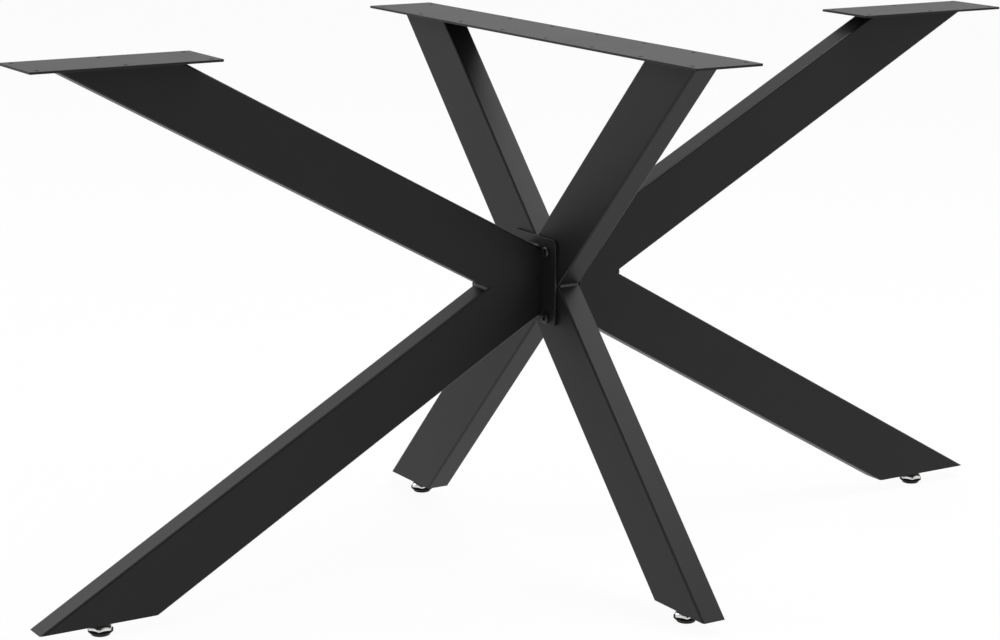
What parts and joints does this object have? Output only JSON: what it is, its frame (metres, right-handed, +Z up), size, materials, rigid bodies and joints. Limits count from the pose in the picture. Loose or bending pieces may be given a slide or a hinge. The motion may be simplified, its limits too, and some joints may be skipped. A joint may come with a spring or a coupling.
{
  "type": "table base",
  "caption": "Steel dining-table base of crossed and V-shaped rectangular tube arms, with flat screw plates on top and adjustable levelling feet.",
  "frame": {"origin": "on the floor, under the middle of the base", "axes": "+X along the table, +Y across it, +Z up"},
  "size_m": [1.5, 0.8, 0.72],
  "materials": {
    "powder_coat": "matt black powder coat with a fine texture",
    "black_oxide": "blackened steel, slightly oily sheen",
    "zinc_plate": "bright zinc plate",
    "nickel_plate": "bright nickel plate",
    "black_plastic": "moulded plastic, fine matt"
  },
  "bodies": {
    "frame": {"cross_screw_plate": "powder_coat", "near_upper_arm": "powder_coat", "near_lower_arm": "powder_coat", "near_notch_weld": "powder_coat", "near_sole_plate": "powder_coat", "near_sole_nut": "zinc_plate", "far_upper_arm": "powder_coat", "far_lower_arm": "powder_coat", "far_notch_weld": "powder_coat", "far_sole_plate": "powder_coat", "far_sole_nut": "zinc_plate", "left_upper_arm": "powder_coat", "left_lower_arm": "powder_coat", "left_notch_weld": "powder_coat", "left_sole_plate": "powder_coat", "left_sole_nut": "zinc_plate", "left_flange": "powder_coat", "left_flange_bolts": "black_oxide", "left_threaded_inserts": "zinc_plate", "left_screw_plate": "powder_coat", "right_upper_arm": "powder_coat", "right_lower_arm": "powder_coat", "right_notch_weld": "powder_coat", "right_sole_plate": "powder_coat", "right_sole_nut": "zinc_plate", "right_flange": "powder_coat", "right_flange_bolts": "black_oxide", "right_threaded_inserts": "zinc_plate", "right_screw_plate": "powder_coat"},
    "left_foot": {"left_foot_stud": "zinc_plate", "left_foot_shell": "nickel_plate", "left_foot_base": "black_plastic"},
    "right_foot": {"right_foot_stud": "zinc_plate", "right_foot_shell": "nickel_plate", "right_foot_base": "black_plastic"},
    "near_foot": {"near_foot_stud": "zinc_plate", "near_foot_shell": "nickel_plate", "near_foot_base": "black_plastic"},
    "far_foot": {"far_foot_stud": "zinc_plate", "far_foot_shell": "nickel_plate", "far_foot_base": "black_plastic"}
  },
  "joints": [
    {"name": "left_foot_height", "type": "slide", "parent": "frame", "child": "left_foot", "axis": [0, 0, 1], "range_m": [-0.01, 0]},
    {"name": "right_foot_height", "type": "slide", "parent": "frame", "child": "right_foot", "axis": [0, 0, 1], "range_m": [-0.01, 0]},
    {"name": "near_foot_height", "type": "slide", "parent": "frame", "child": "near_foot", "axis": [0, 0, 1], "range_m": [-0.01, 0]},
    {"name": "far_foot_height", "type": "slide", "parent": "frame", "child": "far_foot", "axis": [0, 0, 1], "range_m": [-0.01, 0]}
  ]
}
